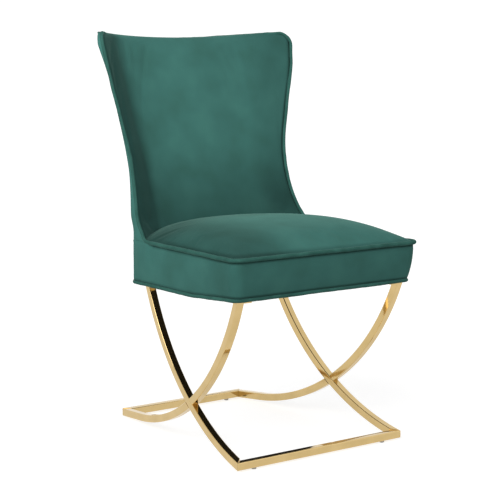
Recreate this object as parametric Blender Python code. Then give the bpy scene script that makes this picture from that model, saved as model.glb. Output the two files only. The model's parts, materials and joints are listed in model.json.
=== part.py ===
"""Upholstered dining chair with a curved wing back on a crossed base of bent square tube.

Metres, +Z up. The chair faces -Y and is symmetrical about X = 0. The floor is Z = 0.
"""

import math

import bmesh
import bpy
from mathutils import Vector

# ---------------------------------------------------------------- driving dimensions
GAP = 0.0003  # clearance that touching pieces keep
FRONT_Y = -0.296  # front face of the base's front rail
REAR_Y = 0.2775  # rear face of the base's rear rail
TUBE = 0.018  # side of the square tube
TUBE_CORNER = 0.0015  # rounding of the tube's long edges
GLIDE_HEIGHT = 0.0045  # part of each glide below its rail
BASE_HALF_WIDTH = 0.2080  # outside of a side frame at Y = 0
BASE_TAPER = 0.099  # narrowing of each side frame per metre towards the rear
REAR_LEG_ARC = (-0.4188, 0.6140, 0.6131)  # centre Y, centre Z, radius: rear top to front foot
FRONT_LEG_ARC = (0.2329, 0.5772, 0.5595)  # centre Y, centre Z, radius: front top to rear foot
REAR_FOOT_SLOPE = math.radians(5)  # the rear foot runs straight once its arc is this close to level

SEAT_UNDERSIDE = 0.3790  # underside of the wooden seat frame
PLATE_THICKNESS = 0.003
PLATE_LENGTH = 0.072
PLATE_WIDTH = 0.038
PLATE_OVERHANG = 0.011  # how far a plate reaches past the middle of its bar, away from the seat's centre
SCREW_OFFSETS = (0.026, 0.048)  # from the middle of the bar, towards the seat's centre
SCREW_INWARD = 0.016  # the screws' line, inwards from the middle of the bar
SCREW_RADIUS = 0.0021
SCREW_HEAD_RADIUS = 0.0045
SCREW_LENGTH = 0.022
DUST_COVER_THICKNESS = 0.0008

SEAT_FRONT = -0.3215  # front of the seat's border at the upper welt
SEAT_SEAM_Y = 0.104  # where the seat's border meets the outside back
SEAT_FRONT_HALF = 0.262  # half width of the seat at its front, upper welt
SEAT_REAR_HALF = 0.250  # half width of the seat at the seam
BORDER_DRAFT = 0.010  # the border's lower edge is this much further in at the front
SEAT_CORNER = 0.024  # corner radius of the seat in plan
UPPER_WELT_Z = 0.4725
LOWER_WELT_Z = 0.3830
LOWER_WELT_DROP = 0.011  # the lower edge hangs this much lower along the sides and the rear
BORDER_STEPS = 7  # facets round each front corner and along each side of the border
WELT_RADIUS = 0.0042
SKIN = 0.0022  # velvet with its backing
CROWN = 0.0545  # rise of the seat's top above the upper welt
CROWN_FALL = 0.32  # share of the crown that is lost again towards the back

RAIL_THICKNESS = 0.022
RAIL_HEIGHT = 0.060
RAIL_INSET = 0.0062  # the rails' outside, inwards from the border's lower outline
REAR_RAIL_THICKNESS = 0.020
BEARER_WIDTH = 0.070
BEARER_HEIGHT = 0.020
WEB_THICKNESS = 0.0016
WEB_WIDTH = 0.050
WADDING = 0.005
LAYER_CLEARANCE = 0.0012  # between the soft layers of the seat and of the back

POST_WIDTH = 0.030
POST_DEPTH = 0.014
POST_INSET = 0.098  # a post's middle, inwards from the wing's edge
BACK_FOAM = 0.014
BACK_BOTTOM = 0.4780  # lower edge of the inside back, behind the seat cushion
BACK_TOP_MIDDLE = 0.9440
BACK_TOP_TIP = 0.9575
WING_CORNER_RISE = 0.034  # height of the rounding of each wing's upper corner
WING_CORNER_WIDTH = 0.022  # its width along X
FACE_POWER = 3.4  # how the inside back curves forward into the wings

# Height, half width at the wing's edge, Y of the wing's edge, Y of the inside back's middle.
WING_LINE = (
    (0.4620, 0.2490, 0.0480, 0.134),
    (0.5145, 0.2400, 0.0990, 0.156),
    (0.5745, 0.2300, 0.1265, 0.181),
    (0.6345, 0.2270, 0.1425, 0.200),
    (0.6945, 0.2330, 0.1550, 0.217),
    (0.7845, 0.2520, 0.1665, 0.238),
    (0.8745, 0.2710, 0.1760, 0.260),
    (0.9575, 0.2810, 0.1940, 0.281),
)
# Height, Y of the outside back's middle, width of the side band, how far its rear edge is inset,
# and how squarely the outside back turns into the sides.
REAR_LINE = (
    (0.3790, 0.2020, 0.050, 0.001, 3.4),
    (0.4745, 0.2160, 0.038, 0.001, 4.0),
    (0.6000, 0.2460, 0.020, 0.003, 3.7),
    (0.7500, 0.2840, 0.017, 0.006, 3.6),
    (0.8500, 0.3060, 0.016, 0.007, 3.8),
    (0.9575, 0.3270, 0.017, 0.002, 4.0),
)


# ---------------------------------------------------------------- materials
def material(name, colour, roughness, metallic=0.0):
    made = bpy.data.materials.new(name)
    made.use_nodes = True
    shader = made.node_tree.nodes["Principled BSDF"]
    shader.inputs["Base Color"].default_value = (*colour, 1.0)
    shader.inputs["Roughness"].default_value = roughness
    shader.inputs["Metallic"].default_value = metallic
    return made


def make_materials():
    return {
        "gold": material("gold_plated_steel", (0.78, 0.58, 0.27), 0.08, 1.0),
        "zinc": material("zinc_plated_steel", (0.56, 0.57, 0.58), 0.35, 1.0),
        "velvet": material("green_velvet", (0.045, 0.130, 0.110), 0.85),
        "piping": material("green_velvet_piping", (0.040, 0.120, 0.100), 0.80),
        "wood": material("birch_wood", (0.62, 0.45, 0.28), 0.60),
        "foam": material("polyurethane_foam", (0.85, 0.80, 0.62), 0.95),
        "wadding": material("polyester_wadding", (0.86, 0.86, 0.84), 0.95),
        "webbing": material("elastic_webbing", (0.32, 0.27, 0.20), 0.90),
        "dust": material("black_spunbond_cloth", (0.02, 0.02, 0.02), 0.90),
        "plastic": material("black_nylon", (0.03, 0.03, 0.03), 0.45),
    }


# ---------------------------------------------------------------- curves and outlines
def smooth(line, column, height):
    """Value of a column of a station table at a height, on a smooth curve through the stations."""
    rows = [line[0]] + list(line) + [line[-1]]
    last = len(line) - 2
    span = 0
    while span < last and height > line[span + 1][0]:
        span += 1
    before, start, end, after = rows[span : span + 4]
    step = end[0] - start[0]
    t = min(max((height - start[0]) / step, 0.0), 1.0)
    slope_in = (end[column] - before[column]) / max(end[0] - before[0], step) * step
    slope_out = (after[column] - start[column]) / max(after[0] - start[0], step) * step
    return (
        (2 * t**3 - 3 * t**2 + 1) * start[column]
        + (t**3 - 2 * t**2 + t) * slope_in
        + (3 * t**2 - 2 * t**3) * end[column]
        + (t**3 - t**2) * slope_out
    )


def corner_inset(height):
    """How far a wing's edge is drawn in by the rounding of its upper corner."""
    into = min(max((height - BACK_TOP_TIP) / WING_CORNER_RISE + 1, 0.0), 1.0)
    return WING_CORNER_WIDTH * (1 - math.sqrt(1 - into**2))


def face_y(x, height):
    """Y of the inside back's surface."""
    half, edge = smooth(WING_LINE, 1, height), smooth(WING_LINE, 2, height)
    middle = smooth(WING_LINE, 3, height)
    return middle - (middle - edge) * min(abs(x / half), 1.0) ** FACE_POWER


def wing(height):
    """Half width and Y of the wing's edge."""
    half = smooth(WING_LINE, 1, height) - corner_inset(height)
    return half, face_y(half, height)


def rear_edge(height):
    """Half width and Y of the line where the side band meets the outside back."""
    band, inset = smooth(REAR_LINE, 2, height), smooth(REAR_LINE, 3, height)
    if height < UPPER_WELT_Z + WELT_RADIUS:
        return SEAT_REAR_HALF - inset, SEAT_SEAM_Y
    half, edge = wing(height)
    rise = min((height - UPPER_WELT_Z - WELT_RADIUS) / 0.05, 1.0)
    blend = rise * rise * (3 - 2 * rise)
    side = (1 - blend) * SEAT_REAR_HALF + blend * half - inset
    return side, (1 - blend) * SEAT_SEAM_Y + blend * (edge + band)


def rear_y(x, height):
    """Y of the outside back's surface."""
    half, edge = rear_edge(height)
    middle, power = smooth(REAR_LINE, 1, height), smooth(REAR_LINE, 4, height)
    return middle - (middle - edge) * min(abs(x / half), 1.0) ** power


def top_z(x):
    """Height of the back's top edge, which dips between the wing tips."""
    side = min(abs(x) / 0.25, 1.0)
    return BACK_TOP_MIDDLE + (BACK_TOP_TIP - BACK_TOP_MIDDLE) * side**2


def seat_outline(inset=0.0, draft=0.0, rear=SEAT_SEAM_Y, steps=6):
    """Plan of the seat from the left rear, round the front, to the right rear, moved inwards."""
    front = SEAT_FRONT + draft + inset
    front_half = SEAT_FRONT_HALF - draft - inset
    radius = max(SEAT_CORNER - inset, 0.004)
    taper = (SEAT_REAR_HALF - inset - front_half) / (SEAT_SEAM_Y - front)
    right = []
    for step in range(steps + 1):
        turn = math.pi / 2 * step / steps
        right.append((
            front_half - radius + radius * math.sin(turn),
            front + radius - radius * math.cos(turn),
        ))
    for step in range(1, steps + 1):
        y = front + radius + (rear - front - radius) * step / steps
        right.append((front_half + taper * (y - front), y))
    return [(-x, y) for x, y in reversed(right)] + right


def lower_welt_z(y):
    """Height of the lower welt, which hangs lower behind the front corners."""
    share = min(max((y - SEAT_FRONT) / 0.22, 0.0), 1.0)
    return LOWER_WELT_Z - LOWER_WELT_DROP * share * share * (3 - 2 * share)


def crown_z(across, along):
    """Height of the cushion at shares of its half width and of its depth from the front."""
    side = max(1 - abs(across) ** 5, 0.0) ** 0.45
    front = (1 - (1 - min(along / 0.55, 1.0)) ** 4) ** 0.5
    fall = 1 - CROWN_FALL * max((along - 0.5) / 0.5, 0.0) ** 2
    return UPPER_WELT_Z + CROWN * side * front * fall


# ---------------------------------------------------------------- mesh helpers
def spread(low, high, steps):
    return [low + (high - low) * step / steps for step in range(steps + 1)]


def add_object(name, bm, finish, smooth_below=math.radians(35)):
    bmesh.ops.recalc_face_normals(bm, faces=bm.faces)
    mesh = bpy.data.meshes.new(name)
    bm.to_mesh(mesh)
    bm.free()
    mesh.materials.append(finish)
    mesh.shade_smooth()
    mesh.set_sharp_from_angle(angle=smooth_below)
    made = bpy.data.objects.new(name, mesh)
    bpy.context.scene.collection.objects.link(made)
    return made


def slab(name, rows_front, rows_behind, finish):
    """A closed body between two grids of points that face each other."""
    bm = bmesh.new()
    front = [[bm.verts.new(point) for point in row] for row in rows_front]
    behind = [[bm.verts.new(point) for point in row] for row in rows_behind]
    rows, columns = len(front), len(front[0])
    for grid, turned in ((front, False), (behind, True)):
        for i in range(rows - 1):
            for j in range(columns - 1):
                a, b, c, d = grid[i][j], grid[i][j + 1], grid[i + 1][j + 1], grid[i + 1][j]
                bm.faces.new((a, d, c, b) if turned else (a, b, c, d))
    for i in range(rows - 1):
        for j in (0, columns - 1):
            bm.faces.new((front[i][j], front[i + 1][j], behind[i + 1][j], behind[i][j]))
    for j in range(columns - 1):
        for i in (0, rows - 1):
            bm.faces.new((front[i][j], behind[i][j], behind[i][j + 1], front[i][j + 1]))
    return add_object(name, bm, finish)


def block(name, low, high, finish):
    bm = bmesh.new()
    bmesh.ops.create_cube(bm, size=1.0)
    size = Vector(high) - Vector(low)
    bmesh.ops.scale(bm, vec=size, verts=bm.verts)
    bmesh.ops.translate(bm, vec=(Vector(high) + Vector(low)) / 2, verts=bm.verts)
    return add_object(name, bm, finish)


def turned(name, profile, centre, finish, sides=12):
    """A body turned about a vertical axis from (radius, height) pairs that start and end on it."""
    bm = bmesh.new()
    points = [bm.verts.new((radius, 0.0, height)) for radius, height in profile]
    edges = [bm.edges.new(pair) for pair in zip(points, points[1:])]
    bmesh.ops.spin(
        bm, geom=points + edges, cent=(0, 0, 0), axis=(0, 0, 1), angle=math.tau, steps=sides,
        use_merge=True,
    )
    bmesh.ops.remove_doubles(bm, verts=bm.verts, dist=1e-6)
    bmesh.ops.translate(bm, vec=centre, verts=bm.verts)
    return add_object(name, bm, finish)


def cord(name, points, radius, finish, closed=False):
    data = bpy.data.curves.new(name, "CURVE")
    data.dimensions = "3D"
    data.bevel_depth = radius
    data.bevel_resolution = 2
    data.use_fill_caps = not closed
    line = data.splines.new("POLY")
    line.points.add(len(points) - 1)
    line.use_cyclic_u = closed
    for point, place in zip(line.points, points):
        point.co = (*place, 1.0)
    data.materials.append(finish)
    made = bpy.data.objects.new(name, data)
    bpy.context.scene.collection.objects.link(made)
    return made


def keep_side(bm, point, inward):
    """Cuts the body with a plane, caps it, and keeps what lies on the inward side."""
    geometry = list(bm.verts) + list(bm.edges) + list(bm.faces)
    cut = bmesh.ops.bisect_plane(
        bm, geom=geometry, plane_co=point, plane_no=inward, clear_inner=True, dist=1e-7
    )
    edges = [part for part in cut["geom_cut"] if isinstance(part, bmesh.types.BMEdge)]
    bmesh.ops.edgeloop_fill(bm, edges=edges)


def drill(target, x, y, low, high, radius):
    """Bores a vertical hole with a hidden cutter."""
    cutter = turned(
        f"cutter_{len(bpy.data.objects)}", [(0, low), (radius, low), (radius, high), (0, high)],
        (x, y, 0), target.data.materials[0], sides=10,
    )
    cutter.hide_render = True
    cutter.display_type = "WIRE"
    cut = target.modifiers.new("bore", "BOOLEAN")
    cut.object = cutter
    cut.operation = "DIFFERENCE"
    cut.solver = "EXACT"


# ---------------------------------------------------------------- metal base
def base_half(y):
    return BASE_HALF_WIDTH - BASE_TAPER * y


def frame_axes(side):
    """Direction along a side frame, and its normal pointing outwards."""
    along = Vector((-side * BASE_TAPER, 1.0, 0.0)).normalized()
    return along, Vector((side * along.y, -side * along.x, 0.0))


def square_profile(bm, centre, across, up):
    """The tube's rounded square section as one face."""
    half = TUBE / 2
    signs = ((-1, -1), (1, -1), (1, 1), (-1, 1))
    corners = [bm.verts.new(centre + across * a * half + up * b * half) for a, b in signs]
    bm.faces.new(corners)
    bmesh.ops.bevel(
        bm, geom=corners, offset=TUBE_CORNER, segments=1, profile=0.5, affect="VERTICES",
        material=-1,
    )


def bent_tube(side, arc, low, high, steps, tail=0.0):
    """A square tube bent to an arc in a side frame's plane, with a straight tail at its rear end."""
    centre_y, centre_z, radius = arc
    along, outward = frame_axes(side)
    middle = Vector((side * base_half(centre_y), centre_y, centre_z)) - outward * TUBE / 2
    radial = along * math.sin(low) - Vector((0, 0, 1)) * math.cos(low)
    bm = bmesh.new()
    square_profile(bm, middle + radial * radius, outward, radial)
    spun = bmesh.ops.spin(
        bm, geom=list(bm.faces), cent=middle, axis=outward, angle=side * (high - low),
        steps=steps, use_duplicate=False,
    )
    if tail:
        last = [part for part in spun["geom_last"] if isinstance(part, bmesh.types.BMFace)]
        grown = bmesh.ops.extrude_face_region(bm, geom=last)["geom"]
        moved = [part for part in grown if isinstance(part, bmesh.types.BMVert)]
        tangent = along * math.cos(high) + Vector((0, 0, 1)) * math.sin(high)
        bmesh.ops.translate(bm, vec=tangent * tail, verts=moved)
        bmesh.ops.delete(bm, geom=[face for face in last if face.is_valid], context="FACES_ONLY")
    bmesh.ops.remove_doubles(bm, verts=bm.verts, dist=1e-7)
    return bm


def crossing():
    """Y and Z where the two arcs of a side frame cross."""
    (y1, z1, r1), (y2, z2, r2) = REAR_LEG_ARC, FRONT_LEG_ARC
    lean = frame_axes(1)[0].y
    wide = (y2 - y1) / lean
    apart = math.hypot(wide, z2 - z1)
    first = (apart**2 + r1**2 - r2**2) / (2 * apart)
    height = math.sqrt(r1**2 - first**2)
    unit_s, unit_z = wide / apart, (z2 - z1) / apart
    return y1 + (unit_s * first + unit_z * height) * lean, z1 + unit_z * first - unit_s * height


def mitre(side, rail_y, inner_y):
    """A point on the mitre plane at a corner of the base, and its horizontal normal."""
    outer = Vector((side * base_half(rail_y), rail_y, 0))
    inner = Vector((side * (base_half(inner_y) - TUBE), inner_y, 0))
    line = inner - outer
    return outer, Vector((-line.y, line.x, 0)).normalized()


def cut_mitre(bm, side, rail_y, inner_y, keep):
    point, normal = mitre(side, rail_y, inner_y)
    if (keep - point).dot(normal) < 0:
        normal = -normal
    keep_side(bm, point + normal * GAP / 2, normal)


def base_rail(name, rail_y, inner_y, finish):
    """A straight rail across the base, mitred at both ends."""
    bm = bmesh.new()
    length = 2 * BASE_HALF_WIDTH + 0.1
    centre = Vector((-length / 2, (rail_y + inner_y) / 2, GLIDE_HEIGHT + TUBE / 2))
    square_profile(bm, centre, Vector((0, 1, 0)), Vector((0, 0, 1)))
    ends = bmesh.ops.extrude_face_region(bm, geom=list(bm.faces))["geom"]
    moved = [part for part in ends if isinstance(part, bmesh.types.BMVert)]
    bmesh.ops.translate(bm, vec=(length, 0, 0), verts=moved)
    bmesh.ops.recalc_face_normals(bm, faces=bm.faces)
    for side in (-1, 1):
        cut_mitre(bm, side, rail_y, inner_y, Vector((0, centre.y, 0)))
    return add_object(name, bm, finish)


def leg_bars(side, word, finish):
    """The long bar and the two shorter bars that are cut and welded against it."""
    top = Vector((0, 0, SEAT_UNDERSIDE - DUST_COVER_THICKNESS - PLATE_THICKNESS - 2 * GAP))
    down = Vector((0, 0, -1))
    along, outward = frame_axes(side)
    cross_y, cross_z = crossing()
    centre_y, centre_z, radius = REAR_LEG_ARC
    radial = (along * (cross_y - centre_y) / along.y + Vector((0, 0, cross_z - centre_z))).normalized()
    at_cross = Vector((side * base_half(cross_y), cross_y, cross_z))

    bm = bent_tube(side, REAR_LEG_ARC, math.radians(8), math.radians(71), 26)
    cut_mitre(bm, side, FRONT_Y, FRONT_Y + TUBE, Vector((side * 0.2, 0, 0)))
    keep_side(bm, top, down)
    add_object(f"leg_bar_long_{word}", bm, finish)

    bm = bent_tube(side, FRONT_LEG_ARC, math.radians(-72), math.radians(-25), 13)
    keep_side(bm, top, down)
    keep_side(bm, at_cross - radial * (TUBE / 2 + 2 * GAP), -radial)
    add_object(f"leg_bar_upper_{word}", bm, finish)

    bm = bent_tube(side, FRONT_LEG_ARC, math.radians(-42), -REAR_FOOT_SLOPE, 13, tail=0.15)
    keep_side(bm, at_cross + radial * (TUBE / 2 + 2 * GAP), radial)
    cut_mitre(bm, side, REAR_Y, REAR_Y - TUBE, Vector((side * 0.2, 0, 0)))
    add_object(f"leg_bar_lower_{word}", bm, finish)


def glide(name, x, y, finish):
    """A nylon foot with a stem that goes up into the rail's underside."""
    turned(name, [(0, 0), (0.0045, 0), (0.0060, 0.0012), (0.0060, GLIDE_HEIGHT - GAP),
                  (0, GLIDE_HEIGHT - GAP)], (x, y, 0), finish)


def arc_top_y(arc, forward):
    """Y where the middle of a bent tube reaches the mounting plates."""
    centre_y, centre_z, radius = arc
    reach = math.sqrt(radius**2 - (centre_z - SEAT_UNDERSIDE) ** 2)
    return centre_y + forward * reach * frame_axes(1)[0].y


def bar_tops():
    """Word, side, Y of the bar's top and the direction to the seat's centre, for each plate."""
    places = (("front", arc_top_y(FRONT_LEG_ARC, -1), 1), ("rear", arc_top_y(REAR_LEG_ARC, 1), -1))
    return [(f"{place}_{word}", side, y, inward) for word, side in (("left", -1), ("right", 1))
            for place, y, inward in places]


def beside_bar(side, y, inward, reach, sideways):
    """A point on the seat's underside, along and inwards from the middle of a bar's top."""
    along, outward = frame_axes(side)
    middle = Vector((side * base_half(y), y, 0)) - outward * TUBE / 2
    return middle + along * inward * reach - outward * sideways


def screw_places(side, y, inward):
    return [beside_bar(side, y, inward, reach, SCREW_INWARD) for reach in SCREW_OFFSETS]


def mounting_plate(word, side, y, inward, finish):
    """A flat steel plate welded on top of a bar, with two screw holes."""
    top = SEAT_UNDERSIDE - DUST_COVER_THICKNESS - GAP
    bm = bmesh.new()
    bmesh.ops.create_cube(bm, size=1.0)
    bmesh.ops.scale(bm, vec=(PLATE_WIDTH, PLATE_LENGTH, PLATE_THICKNESS), verts=bm.verts)
    edges = [edge for edge in bm.edges if abs((edge.verts[0].co - edge.verts[1].co).z) > 0.001]
    bmesh.ops.bevel(
        bm, geom=edges, offset=0.006, segments=3, profile=0.5, affect="EDGES", material=-1
    )
    plate = add_object(f"mounting_plate_{word}", bm, finish)
    centre = beside_bar(
        side, y, inward, PLATE_LENGTH / 2 - PLATE_OVERHANG, (PLATE_WIDTH - TUBE) / 2
    )
    plate.rotation_euler.z = side * math.atan(BASE_TAPER)
    plate.location = (centre.x, centre.y, top - PLATE_THICKNESS / 2)
    for place in screw_places(side, y, inward):
        drill(plate, place.x, place.y, top - 0.01, top + 0.01, SCREW_RADIUS + GAP)


def mounting_screws(word, side, y, inward, finish):
    """Pan-head wood screws up through the plate into the seat frame."""
    under = SEAT_UNDERSIDE - DUST_COVER_THICKNESS - PLATE_THICKNESS - 2 * GAP
    profile = [(0, -0.0026), (0.0030, -0.0024), (SCREW_HEAD_RADIUS, -0.0010),
               (SCREW_HEAD_RADIUS, 0), (SCREW_RADIUS, 0), (SCREW_RADIUS, SCREW_LENGTH - 0.004),
               (0, SCREW_LENGTH)]
    for number, place in enumerate(screw_places(side, y, inward), 1):
        name = f"mounting_screw_{word}_{number}"
        turned(name, profile, (place.x, place.y, under), finish, sides=10)


# ---------------------------------------------------------------- seat
def side_rail_x(y):
    """Outside of a wooden side rail, just inside the border."""
    low = SEAT_FRONT_HALF - BORDER_DRAFT
    share = (y - SEAT_FRONT) / (SEAT_SEAM_Y - SEAT_FRONT)
    return low + (SEAT_REAR_HALF - low) * share - RAIL_INSET


def seat_frame_ends():
    """Y of the seat frame's front face and of the side rails' rear ends."""
    return SEAT_FRONT + BORDER_DRAFT + RAIL_INSET, SEAT_SEAM_Y - GAP


def bore_for_screws(target, low):
    """Bores the holes of the mounting screws that go up into a piece of the seat frame."""
    xs, ys = zip(*[corner.co.xy for corner in target.data.vertices])
    for _, side, y, inward in bar_tops():
        for place in screw_places(side, y, inward):
            if min(xs) < place.x < max(xs) and min(ys) < place.y < max(ys):
                drill(target, place.x, place.y, low - 0.01, low + SCREW_LENGTH, SCREW_RADIUS + GAP)


def seat_side_rail(side, word, finish):
    """A side rail that follows the seat's slight taper, rounded at its front corner."""
    front, rear = seat_frame_ends()
    low, high = SEAT_UNDERSIDE, SEAT_UNDERSIDE + RAIL_HEIGHT
    bm = bmesh.new()
    corners = [(side_rail_x(front), front), (side_rail_x(rear), rear),
               (side_rail_x(rear) - RAIL_THICKNESS, rear), (side_rail_x(front) - RAIL_THICKNESS, front)]
    face = bm.faces.new([bm.verts.new((side * x, y, low)) for x, y in corners])
    lifted = bmesh.ops.extrude_face_region(bm, geom=[face])["geom"]
    moved = [part for part in lifted if isinstance(part, bmesh.types.BMVert)]
    bmesh.ops.translate(bm, vec=(0, 0, high - low), verts=moved)
    corner = [edge for edge in bm.edges
              if all(abs(v.co.y - front) < 1e-6 and abs(v.co.x) > side_rail_x(front) - 0.001
                     for v in edge.verts)]
    bmesh.ops.bevel(
        bm, geom=corner, offset=0.0205, segments=4, profile=0.5, affect="EDGES", material=-1
    )
    add_object(f"seat_rail_{word}", bm, finish)


def cross_member(name, front, depth, height, finish):
    """A rail or bearer between the two side rails, its ends cut to their taper."""
    low, high = SEAT_UNDERSIDE, SEAT_UNDERSIDE + height
    grids = []
    for y in (front, front + depth):
        half = side_rail_x(y) - RAIL_THICKNESS - GAP
        grids.append([[(-half, y, z), (half, y, z)] for z in (low, high)])
    bore_for_screws(slab(name, *grids, finish), low)


def seat_rear_rail(finish):
    """The rail across the side rails' rear ends, which carries the back."""
    front = seat_frame_ends()[1] + GAP
    low, high = SEAT_UNDERSIDE, SEAT_UNDERSIDE + RAIL_HEIGHT
    grids = []
    for y, half in ((front, side_rail_x(front) - 0.003), (front + REAR_RAIL_THICKNESS, 0.222)):
        grids.append([[(-half, y, z), (half, y, z)] for z in (low, high)])
    bore_for_screws(slab("seat_rail_rear", *grids, finish), low)


def seat_webbing(finish, front, rear):
    """Straps from front to rear, lying on straps from side to side."""
    low = SEAT_UNDERSIDE + RAIL_HEIGHT + GAP
    reach = side_rail_x(0) - 0.006
    for number, y in enumerate(spread(front + 0.075, rear - 0.075, 2), 1):
        block(f"seat_web_across_{number}", (-reach, y - WEB_WIDTH / 2, low),
              (reach, y + WEB_WIDTH / 2, low + WEB_THICKNESS), finish)
    low += WEB_THICKNESS + GAP
    for number, x in enumerate(spread(-0.132, 0.132, 3), 1):
        block(f"seat_web_along_{number}", (x - WEB_WIDTH / 2, front + 0.004, low),
              (x + WEB_WIDTH / 2, rear - 0.004, low + WEB_THICKNESS), finish)


def cushion_rear(x):
    """Y where the seat cushion meets the inside back."""
    half = smooth(WING_LINE, 1, BACK_BOTTOM)
    return face_y(min(abs(x), half), BACK_BOTTOM) - 0.006


def seat_layer(name, drop, thickness, finish, columns=12, rows=9):
    """A layer of the cushion, lowered by drop; without a thickness it reaches the webbing."""
    inset = WELT_RADIUS + 0.002
    low = SEAT_UNDERSIDE + RAIL_HEIGHT + 2 * WEB_THICKNESS + 3 * GAP
    front, front_half = SEAT_FRONT + inset, SEAT_FRONT_HALF - inset
    top, bottom = [], []
    for share in spread(0, 1, rows):
        share = share**1.5
        line = []
        for u in spread(-1, 1, columns):
            u = math.sin(math.pi / 2 * u)
            y = front + share * (cushion_rear(u * SEAT_REAR_HALF) - front)
            into = max(SEAT_CORNER - (y - front), 0.0)
            round_off = SEAT_CORNER - math.sqrt(max(SEAT_CORNER**2 - into**2, 0.0))
            taper = (SEAT_FRONT_HALF - SEAT_REAR_HALF) * (y - front) / (SEAT_SEAM_Y - front)
            line.append((u * (front_half - taper - round_off), y, crown_z(u, share) - drop))
        top.append([(x, y, max(z, low + 0.004)) for x, y, z in line])
        bottom.append([(x, y, z - thickness if thickness else low) for x, y, z in top[-1]])
    return slab(name, top, bottom, finish)


def seat_border(finish):
    """The velvet band between the two welts, round the front and both sides."""
    outside, inside = [], []
    high = UPPER_WELT_Z - WELT_RADIUS - GAP
    for share in spread(0, 1, 3):
        draft = BORDER_DRAFT * (1 - share)
        for rows, inset in ((outside, 0.0), (inside, SKIN)):
            plan = seat_outline(inset, draft, SEAT_SEAM_Y - GAP, BORDER_STEPS)
            lows = [lower_welt_z(y) + WELT_RADIUS + GAP for _, y in plan]
            rows.append([(x, y, z + (high - z) * share) for (x, y), z in zip(plan, lows)])
    slab("seat_border", outside, inside, finish)


def dust_cover(finish):
    """Thin cloth stapled under the seat frame, above the mounting plates."""
    top = SEAT_UNDERSIDE - GAP
    plan = seat_outline(0.009, BORDER_DRAFT, SEAT_SEAM_Y - 0.004, 3)
    rear = [(x, rear_y(x, SEAT_UNDERSIDE) - 0.010) for x in spread(0.232, -0.232, 12)]
    bm = bmesh.new()
    face = bm.faces.new([bm.verts.new((x, y, top)) for x, y in plan + rear])
    lowered = bmesh.ops.extrude_face_region(bm, geom=[face])["geom"]
    moved = [part for part in lowered if isinstance(part, bmesh.types.BMVert)]
    bmesh.ops.translate(bm, vec=(0, 0, GAP - DUST_COVER_THICKNESS), verts=moved)
    cloth = add_object("dust_cover", bm, finish)
    for _, side, y, inward in bar_tops():
        for place in screw_places(side, y, inward):
            drill(cloth, place.x, place.y, top - 0.01, top + 0.01, SCREW_RADIUS + 2 * GAP)


def upper_welt(finish):
    plan = seat_outline(0.0, 0.0, cushion_rear(SEAT_REAR_HALF) - 0.014)
    cord("seat_upper_welt", [(x, y, UPPER_WELT_Z) for x, y in plan], WELT_RADIUS, finish)


def lower_welt(finish):
    """A closed ring round the bottom of the border and of the outside back."""
    plan = seat_outline(0.0, BORDER_DRAFT, SEAT_SEAM_Y - GAP, BORDER_STEPS)
    sweep = [(SEAT_REAR_HALF - 0.001) * math.cos(turn) for turn in spread(0.12, math.pi - 0.12, 18)]
    ring = plan + [(x, rear_y(x, LOWER_WELT_Z)) for x in sweep]
    points = [(x, y, lower_welt_z(y)) for x, y in ring]
    cord("seat_lower_welt", points, WELT_RADIUS, finish, closed=True)


# ---------------------------------------------------------------- back
def back_rows(depth, drop, inset, columns=16, rows=13, clear=None):
    """Grid of points a given depth behind the inside back, kept in front of the outside back."""
    grid = []
    for v in spread(0, 1, rows):
        v = 1 - (1 - v) ** 1.5
        row = []
        for u in spread(-1, 1, columns):
            u = math.sin(math.pi / 2 * u) * 0.5 + u * 0.5
            z = BACK_BOTTOM + v * (top_z(u * 0.27) - drop - BACK_BOTTOM)
            x = u * (wing(min(z + drop * 0.6, BACK_TOP_TIP - 0.001))[0] - inset)
            y = face_y(x, z) + depth
            row.append((x, y if clear is None else min(y, rear_y(x, z) - clear), z))
        grid.append(row)
    return grid


def inside_back_cover(finish):
    drop, inset = 0.0110, WELT_RADIUS + 0.0030
    slab("inside_back_cover", back_rows(0, drop, inset), back_rows(SKIN, drop, inset), finish)


def back_foam(finish):
    start, drop, inset = SKIN + LAYER_CLEARANCE, 0.014, 0.012
    slab("back_foam", back_rows(start, drop, inset),
         back_rows(start + BACK_FOAM, drop, inset, clear=SKIN + 4 * LAYER_CLEARANCE), finish)


def outside_back_cover(finish, columns=16, rows=20):
    low, outside, inside = lower_welt_z(SEAT_SEAM_Y) + WELT_RADIUS + GAP, [], []
    for v in spread(0, 1, rows):
        outer, inner = [], []
        for u in spread(-1, 1, columns):
            u = math.sin(math.pi / 2 * u)
            z = low + v * (top_z(u * 0.27) - 0.012 - low)
            half, place = rear_edge(z)[0], GAP
            outer.append((u * half, rear_y(u * half, z) + place, z))
            inner.append((u * (half - SKIN), outer[-1][1] - SKIN * (1 - abs(u) ** 8), z))
        outside.append(outer)
        inside.append(inner)
    slab("outside_back_cover", outside, inside, finish)


def side_band(side, word, finish, rows=20):
    """The narrow strip between the wing's welt and the outside back."""
    outside, inside = [], []
    for z in spread(UPPER_WELT_Z + 0.002, BACK_TOP_TIP - WING_CORNER_RISE, rows):
        (half, edge), (rear_half, rear) = wing(z), rear_edge(z)
        start, end = edge + 1.5 * WELT_RADIUS, rear - 2.4 * LAYER_CLEARANCE
        outside.append([(side * half, start, z), (side * rear_half, end, z)])
        inside.append([(side * (half - SKIN), start, z), (side * (rear_half - SKIN), end, z)])
    slab(f"back_side_band_{word}", outside, inside, finish)


def wing_tip():
    """Half distance between the wing tips' highest points, and their Y."""
    half = smooth(WING_LINE, 1, BACK_TOP_TIP) - WING_CORNER_WIDTH
    return half, face_y(half, BACK_TOP_TIP) + WELT_RADIUS


def top_welt_y(x):
    """Y of the welt along the top, which lies at the rear edge between the tips."""
    tip_x, tip_y = wing_tip()
    middle = 1 - min(abs(x / tip_x), 1.0) ** 10
    return tip_y + (rear_y(x, top_z(x) - 0.006) - 0.001 - tip_y) * middle


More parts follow.
